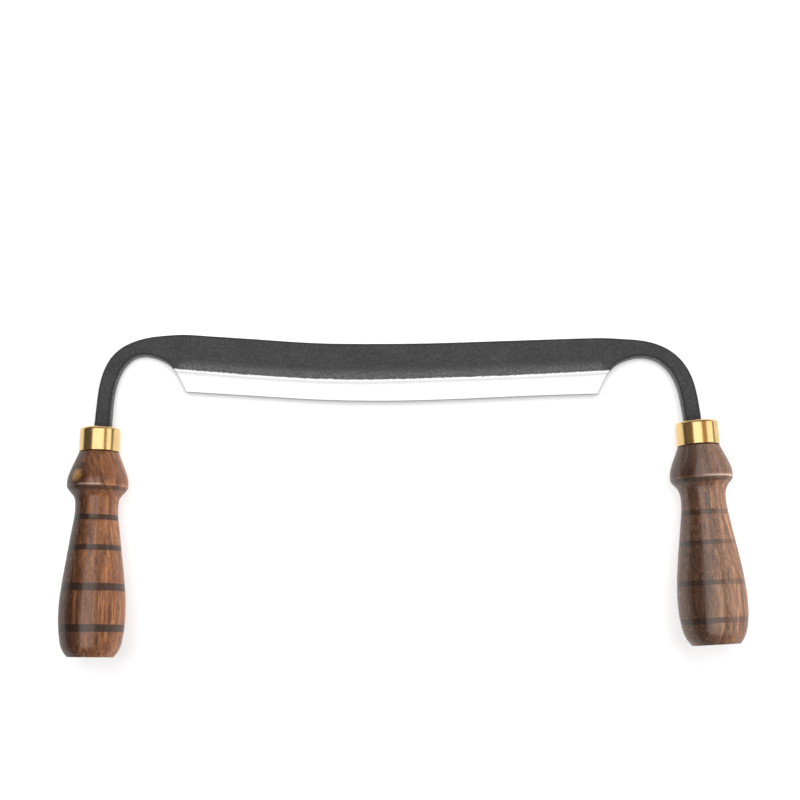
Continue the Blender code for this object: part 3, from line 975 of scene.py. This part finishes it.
def walnut(name, look):
    """Oiled walnut with its grain along the handle. look gives where the tree's pith lies off the axis,
    the shift that picks the stretch of grain, the colours, how dark the painted shade makes the collar
    and a zone across the handle, knots with their radii, how black the burnt rings are and where a
    painted sheen pales them, and where the ridge's arris gets its painted highlight."""
    n = new_look(name)

    def stretched(across, along, detail, roughness, of="place"):
        """Noise with those scales across and along the handle."""
        return n.noise(n.place((across, across, along), look["shift"], of), 1.0, detail, roughness)

    drift = stretched(0.030, 0.010, 2, 0.5)
    wander = n.times(n.minus(drift, 0.5), look["wander"])
    from_pith = n.plus(n.distance(n.place((1, 1, 0), (*look["pith"], 0), "grain")), wander)
    years = n.line_noise(n.times(from_pith, 0.30), detail=2, roughness=0.5)
    streaks = stretched(0.50, 0.013, 3, 0.6, "grain")
    fibre = stretched(2.0, 0.10, 4, 0.7, "grain")
    grit = stretched(2.4, 1.1, 3, 0.75)
    pores = stretched(3.2, 0.24, 1, 0.5, "grain")
    clouds = stretched(0.08, 0.022, 2, 0.5)
    here = n.node("ShaderNodeSeparateXYZ", {"Vector": n.place()})
    ragged_zone = n.times(n.minus(streaks, 0.5), 22.0)
    zone_at = n.plus(here["X"], n.plus(ragged_zone, n.times(wander, 0.5)))

    # Figure
    dark, amber = look["dark"], look["amber"]
    (darkest, clear), share = look["shade"]
    colour = n.over(
        n.mix(n.range(clouds, 0.35, 0.65), look["middle"], look["light"]),
        (dark, years, 0.58, 0.36, 0.38),
        (amber, streaks, 0.53, 0.68, 0.8),
        (dark, streaks, 0.47, 0.32, 0.8),
        # painted shade: the side of the grip away from the key is darker
        (dark, zone_at, clear, darkest, share),
        (amber, fibre, 0.52, 0.70, 0.6),
        (dark, fibre, 0.48, 0.30, 0.8),
        (amber, grit, 0.55, 0.72, 0.6),
        (dark, grit, 0.45, 0.28, 0.65),
    )
    open_pores = n.range(pores, 0.60, 0.70)
    colour = n.mix(n.times(open_pores, 0.65), colour, PORE_AND_SHADE)
    # painted shade: the collar darker, where it gets less of the key
    colour = n.over(colour, (dark, here["Z"], *COLLAR_PAINTED_SHADE, look["collar"]))
    for centre, radius in look["knots"]:
        spread = stretched(0.35, 0.35, 4, 0.7)
        away = n.plus(n.distance(n.place(), centre), n.times(n.minus(spread, 0.5), radius * 1.6))
        colour = n.over(colour, (KNOT_HALO, away, radius * 3.0, radius * 1.5, 0.7))
        heart = n.range(away, radius * 1.5, radius * 0.4)
        colour = n.mix(n.times(heart, n.range(grit, 0.32, 0.56, 0.25, 1.0)), colour, KNOT_HEART)

    # Burnt rings, painted shade in the gap at the ferrule, and the ridge's painted highlight with
    # painted shade under it
    ragged = stretched(1.2, 0.25, 3, 0.7)
    burn = n.plus(n.attribute("burn"), n.range(ragged, 0.3, 0.7, -0.35, 0.2, smooth=False))
    # painted sheen: the burnt rings paler on the lit side of the grip
    fades_at, kept = look["rings_paled_by_light"]
    rings_paled_by_light = n.range(zone_at, fades_at - 5.0, fades_at + 5.0, kept, 1.0)
    burnt = n.times(n.range(burn, 0.25, 0.75, 0.0, look["char"]), rings_paled_by_light)
    colour = n.mix(burnt, colour, n.mix(n.range(fibre, 0.35, 0.65), *CHAR))
    # painted shade where the grip comes out of its ferrule
    colour = n.mix(n.attribute("gap_shade"), colour, GAP_SHADE)
    # painted highlight on the ridge's arris, and painted shade in the hollow under it
    arris = n.attribute("arris")
    middle, reach = look["arris"]
    # painted highlight: strongest across the lit part of the ridge
    painted_highlight = n.range(n.math("ABSOLUTE", n.minus(here["X"], middle)), reach, reach * 0.6, 0.10, 0.9)
    colour = n.mix(n.times(n.range(arris, 0.05, 0.9), painted_highlight), colour, RIDGE_HIGHLIGHT)
    # painted shade in the hollow under the ridge
    colour = n.over(colour, (PORE_AND_SHADE, arris, -0.1, -0.9, 0.6))

    n.set(Base_Color=colour, Roughness=n.range(fibre, 0.3, 0.7, 0.5, 0.65), Specular_IOR_Level=0.12)
    n.set(Coat_Weight=look["coat"], Coat_Roughness=0.22, Coat_IOR=2.0)
    relief = n.plus(n.times(fibre, 0.6), n.times(grit, 0.6))
    n.set(Normal=n.bump(n.minus(relief, n.times(open_pores, 0.5)), 0.16))
    return n.owner


def floor_material():
    n = new_look("pale_floor")
    mottle = n.noise(n.place((0.01, 0.01, 0.01)), 1.0, detail=2, roughness=0.5)
    glow = n.range(n.distance(n.place()), *FLOOR_GLOWS_FROM, *FLOOR_GLOW)
    n.set(Base_Color=n.mix(n.range(mottle, 0.3, 0.7), *FLOOR), Roughness=0.9)
    n.set(Emission_Color=(1, 1, 1, 1), Emission_Strength=glow)
    return n.owner


# ---------------- stage

FLOOR_GLOW = (0.33, 0.86)  # near the knife, and far from it
FLOOR_GLOWS_FROM = (330.0, 1000.0)  # distances at which it starts to rise, and is full
FLOOR_RADIUS = 16.0  # metres
CAMERA_HEIGHT = 0.9
FIELD_WIDTH = 509.55 * MM  # what the square picture spans on the table
KNIFE_IN_FIELD = Vector((1.9, -59.0)) * MM  # the knife's origin, from the middle of the picture
SENSOR = 36.0
WORLD_SEEN = 0.93
WORLD_LIGHT = (0.08, 0.40)  # to the left and right, and before and behind
WORLD_TURNS_AT = (0.45, 0.9)  # how much a direction points before or behind, from one to the other


def build_camera():
    data = bpy.data.cameras.new("camera")
    data.sensor_width = SENSOR
    data.lens = SENSOR * CAMERA_HEIGHT / FIELD_WIDTH
    camera = placed("camera", data)
    camera.location = (-KNIFE_IN_FIELD.x, -KNIFE_IN_FIELD.y, CAMERA_HEIGHT)
    bpy.context.scene.camera = camera


def build_floor():
    turns = [2 * math.pi * k / FLOOR_SEGMENTS for k in range(FLOOR_SEGMENTS)]
    rim = [(FLOOR_RADIUS * math.cos(turn), FLOOR_RADIUS * math.sin(turn), 0) for turn in turns]
    mesh = bpy.data.meshes.new("floor")
    mesh.from_pydata(rim, [], [tuple(range(len(rim)))])
    store_place(mesh, np.array(rim) / MM)
    mesh.materials.append(floor_material())
    floor = placed("floor", mesh)
    return floor


def receivers(name, objects):
    """A set of objects that a light can be kept to."""
    group = bpy.data.collections.new(name)
    for obj in objects:
        group.objects.link(obj)
    return group


def panel(name, centre, target, size, radiance, group, diffuse=True, gloss=True):
    """A softbox of that brightness, facing target, that lights only the objects in group. size is its
    extent across and along Y. It can be left out of the diffuse light or of the reflections."""
    data = bpy.data.lights.new(name, "AREA")
    data.shape = "RECTANGLE"
    data.size, data.size_y = size
    data.energy = radiance * math.pi * size[0] * size[1]
    light = placed(name, data)
    away = (Vector(centre) - Vector(target)).normalized()
    across = Vector((0, 1, 0)).cross(away).normalized()
    light.matrix_world = frame_at(Vector(centre), across, away.cross(across), away)
    light.visible_camera = False
    light.visible_diffuse = diffuse
    light.visible_glossy = gloss
    light.light_linking.receiver_collection = group
    return light


def strip_over(name, anchor, span, reach, radiance, group, diffuse=True, gloss=True):
    """A panel that spans those angles from straight up, towards +X, as seen from anchor. reach is its
    extent along Y, from and to, in metres."""
    middle = math.radians((span[0] + span[1]) / 2)
    half = math.radians((span[1] - span[0]) / 2)
    anchor = Vector((anchor[0], (reach[0] + reach[1]) / 2, anchor[2]))
    centre = anchor + Vector((math.sin(middle), 0, math.cos(middle))) * STRIP_DISTANCE
    size = (2 * STRIP_DISTANCE * math.tan(half), reach[1] - reach[0])
    return panel(name, centre, anchor, size, radiance, group, diffuse, gloss)


def build_world():
    """A pale surround to look at. As light it is dim to the sides, and brighter before and behind."""
    n = Nodes(bpy.data.worlds.new("surround"), "Background")
    bpy.context.scene.world = n.owner
    generated = n.node("ShaderNodeTexCoord", {})["Generated"]
    depth = n.math("ABSOLUTE", n.node("ShaderNodeSeparateXYZ", {"Vector": generated})["Y"])
    lit = n.range(depth, *WORLD_TURNS_AT, *WORLD_LIGHT, smooth=False)
    seen = n.node("ShaderNodeLightPath", {})["Is Camera Ray"]
    strength = n.node("ShaderNodeMix", {"Factor": seen, "A": lit, "B": WORLD_SEEN})["Result"]
    n.set(Color=(1, 1, 1, 1), Strength=strength)


STRIP_DISTANCE = 0.5
WHITE = (1, 1, 1)
WARM = (1.0, 0.64, 0.30)
# What each ferrule and each grip mirrors: where its boxes begin and end, in degrees from straight up
# towards +X, and how bright each one is. WOOD_KEYS is the light that the grain is seen by.
BRASS_BOXES = {
    "left": ((-75.0, -31.0, 35.5, 53.0, 80.0), (0.06, 1.72, 0.42, 1.50)),
    "right": ((-75.0, -33.8, 13.5, 41.5, 80.0), (0.13, 1.80, 0.50, 1.60)),
}
BRASS_TINTS = (WARM, WHITE, WARM, WHITE)
WOOD_BOXES = {
    "left": ((-27.0, -4.0, 20.0, 60.0, 84.0), (2.20, 2.00, 0.30, 0.70)),
    "right": ((-33.0, -6.0, 18.0, 44.0, 84.0), (2.05, 1.90, 0.65, 1.55)),
}
WOOD_KEYS = {"left": ((18.0, 88.0), 1.86), "right": ((12.0, 90.0), 2.12)}
ANCHORS = {"left": Vector((-0.190, 0, 0.02)), "right": Vector((0.187, 0, 0.02))}
BRASS_REACH = (-0.10, 0.30)
WOOD_REACH = {"left": (-0.40, 0.30), "right": (-0.40, 1.10)}
KEY_REACH = (-0.10, 0.50)
# Softboxes: centre, target, size and radiance
BLADE_BOXES = {
    "bevel_box": ((0, -0.16, 0.65), (0, 0.075, 0.01), (1.1, 0.34), 1.4),
    "flat_box": ((0, 0.36, 0.62), (0, 0.085, 0.01), (1.2, 0.34), 1.48),
}
FLOOR_BOXES = {
    "left": ((-0.27, 0.22, 0.90), (-0.27, 0.03, 0), (0.5, 0.5), 7.8),
    "right": ((0.27, 0.22, 0.90), (0.27, 0.03, 0), (0.5, 0.5), 7.8),
    "behind": ((0, 0.62, 0.80), (0, 0, 0), (0.9, 0.3), 6.3),
}


def light_grip(side, ferrule, wood):
    """The crisp-edged boxes that the brass and the oiled wood mirror, and the grip's key light."""
    anchor = ANCHORS[side]

    def row(kind, boxes, reach, group):
        edges, levels = boxes[side]
        strips = []
        for k, radiance in enumerate(levels):
            name, span = f"{side}_{kind}_{k}", edges[k : k + 2]
            strips.append(strip_over(name, anchor, span, reach, radiance, group, diffuse=False))
        return strips

    for strip, tint in zip(row("brass", BRASS_BOXES, BRASS_REACH, ferrule), BRASS_TINTS):
        strip.data.color = tint
    row("wood", WOOD_BOXES, WOOD_REACH[side], wood)
    span, radiance = WOOD_KEYS[side]
    strip_over(f"{side}_key", anchor, span, KEY_REACH, radiance, wood, gloss=False)


def light_floor(group, blockers):
    """A soft box over each side, shaded only by its own grip and the blade, and a low one behind,
    shaded only by the blade, that draws the line under the cutting edge."""
    for name, box in FLOOR_BOXES.items():
        light = panel(f"floor_{name}", *box, group, gloss=False)
        light.light_linking.blocker_collection = blockers[name]


# ---------------- all of it


def adopt(piece, node, look):
    """piece rides on the object's one body in place of a CAD node and material."""
    piece.data.materials.append(look)
    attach(piece, BODY)
    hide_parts(node)
    return piece


def main():
    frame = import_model()
    plane = knife_plane(frame["record"])

    blade = adopt(build_blade(plane), "blade", steel_of_blade())
    brass, steel = polished_brass(), washer_steel()
    woods = {side: walnut(f"walnut_{side}", look) for side, look in WOODS.items()}
    grips = {}
    for side, handle in HANDLES.items():
        matrix = handle_matrix(plane, handle)
        turning = build_handle(f"handle_{side}_turning", handle, matrix, WOODS[side])
        ferrule = build_ferrule(f"ferrule_{side}_shell", handle, matrix)
        washer = build_washer(f"washer_{side}_disc", handle, matrix)
        grips[side] = [
            adopt(ferrule, f"ferrule_{side}", brass),
            adopt(turning, f"handle_{side}", woods[side]),
            adopt(washer, f"washer_{side}", steel),
        ]

    build_camera()
    floor = build_floor()
    build_world()
    for side, pieces in grips.items():
        light_grip(side, receivers(f"{side}_brass", pieces[:1]), receivers(f"{side}_wood", pieces[1:]))
    forging = receivers("forging", [blade])
    for name, box in BLADE_BOXES.items():
        panel(name, *box, forging)
    blockers = {side: receivers(f"{side}_shade", [blade, *pieces]) for side, pieces in grips.items()}
    blockers["behind"] = receivers("blade_shade", [blade])
    light_floor(receivers("stage_floor", [floor]), blockers)
    bpy.context.scene.view_settings.view_transform = "Standard"


main()
